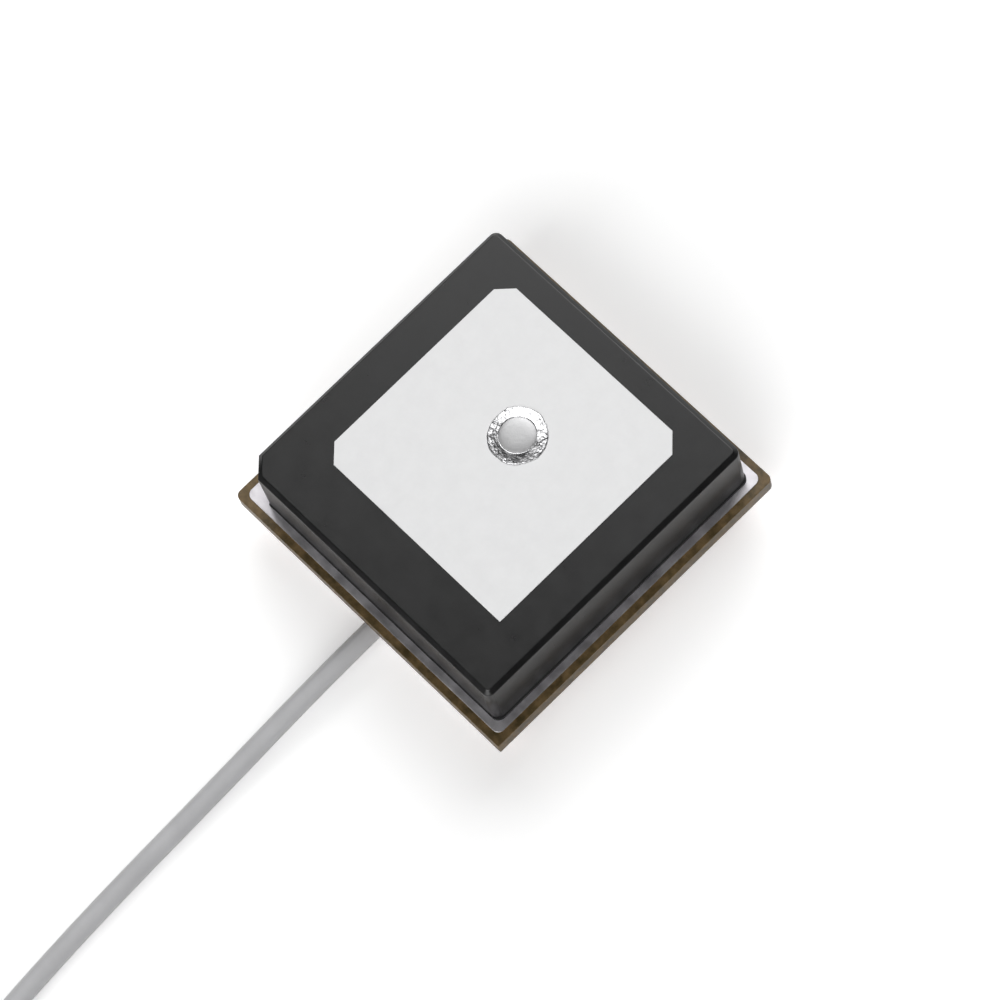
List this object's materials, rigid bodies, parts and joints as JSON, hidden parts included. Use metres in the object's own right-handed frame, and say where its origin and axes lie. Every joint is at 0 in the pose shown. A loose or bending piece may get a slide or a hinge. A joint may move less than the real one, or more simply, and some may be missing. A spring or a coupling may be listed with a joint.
{
  "type": "gnss receiver",
  "caption": "Bare satellite-navigation receiving head: ceramic patch on a shielded amplifier board, with a thin coaxial pigtail and push-on plug.",
  "frame": {"origin": "centre of the board in X and Y, at the underside of the shield can", "axes": "+Z towards the sky through the patch; the pigtail leaves the middle of the -Y edge"},
  "size_m": [0.0349, 0.0622, 0.0079],
  "materials": {
    "ceramic": "fired dark grey, matte",
    "chip_black": "moulded",
    "chip_tan": "barium titanate",
    "chip_white": "alumina",
    "copper": "copper foil",
    "fired_silver": "matte fired silver",
    "gold": "gold flash",
    "insulation": "white fluoropolymer",
    "insulator": "liquid-crystal polymer",
    "jacket": "grey fluoropolymer",
    "laminate": "glass-epoxy laminate",
    "mask": "green solder mask",
    "silver_wire": "silver-plated wire",
    "solder": "bright solder",
    "tape": "black foam tape",
    "tin_plate": "tin-plated steel sheet",
    "tinned_copper": "bright tin"
  },
  "bodies": {
    "root": {"circuit_board": "laminate", "ground_vias": "copper", "tinned_plane": "tinned_copper", "underside_ground": "copper", "signal_tracks": "copper", "solder_mask": "mask", "ceramic_block": "ceramic", "top_electrode": "fired_silver", "base_electrode": "fired_silver", "adhesive_tape": "tape", "feed_pin": "tinned_copper", "pin_head_solder": "solder", "pin_tip_solder": "solder", "shield_can": "tin_plate", "can_solder": "solder", "capacitors": "chip_tan", "capacitor_ends": "tinned_copper", "resistors": "chip_black", "resistor_ends": "tinned_copper", "inductors": "chip_white", "inductor_ends": "tinned_copper", "ferrite_bead": "chip_black", "bead_ends": "tinned_copper", "surge_clamp": "chip_black", "surge_clamp_leads": "tinned_copper", "input_amplifier": "chip_black", "output_amplifier": "chip_black", "amplifier_leads": "tinned_copper", "band_filter": "chip_white", "band_filter_lid": "gold", "cable_core": "silver_wire", "cable_insulation": "insulation", "cable_braid": "silver_wire", "braid_solder": "solder", "core_solder": "solder", "antenna_cable": "jacket", "cable_coil": "jacket", "cable_tail": "jacket", "plug_core": "silver_wire", "plug_cable_insulation": "insulation", "plug_braid": "silver_wire", "plug_shell": "gold", "plug_insulator": "insulator", "plug_socket": "gold"}
  },
  "joints": []
}
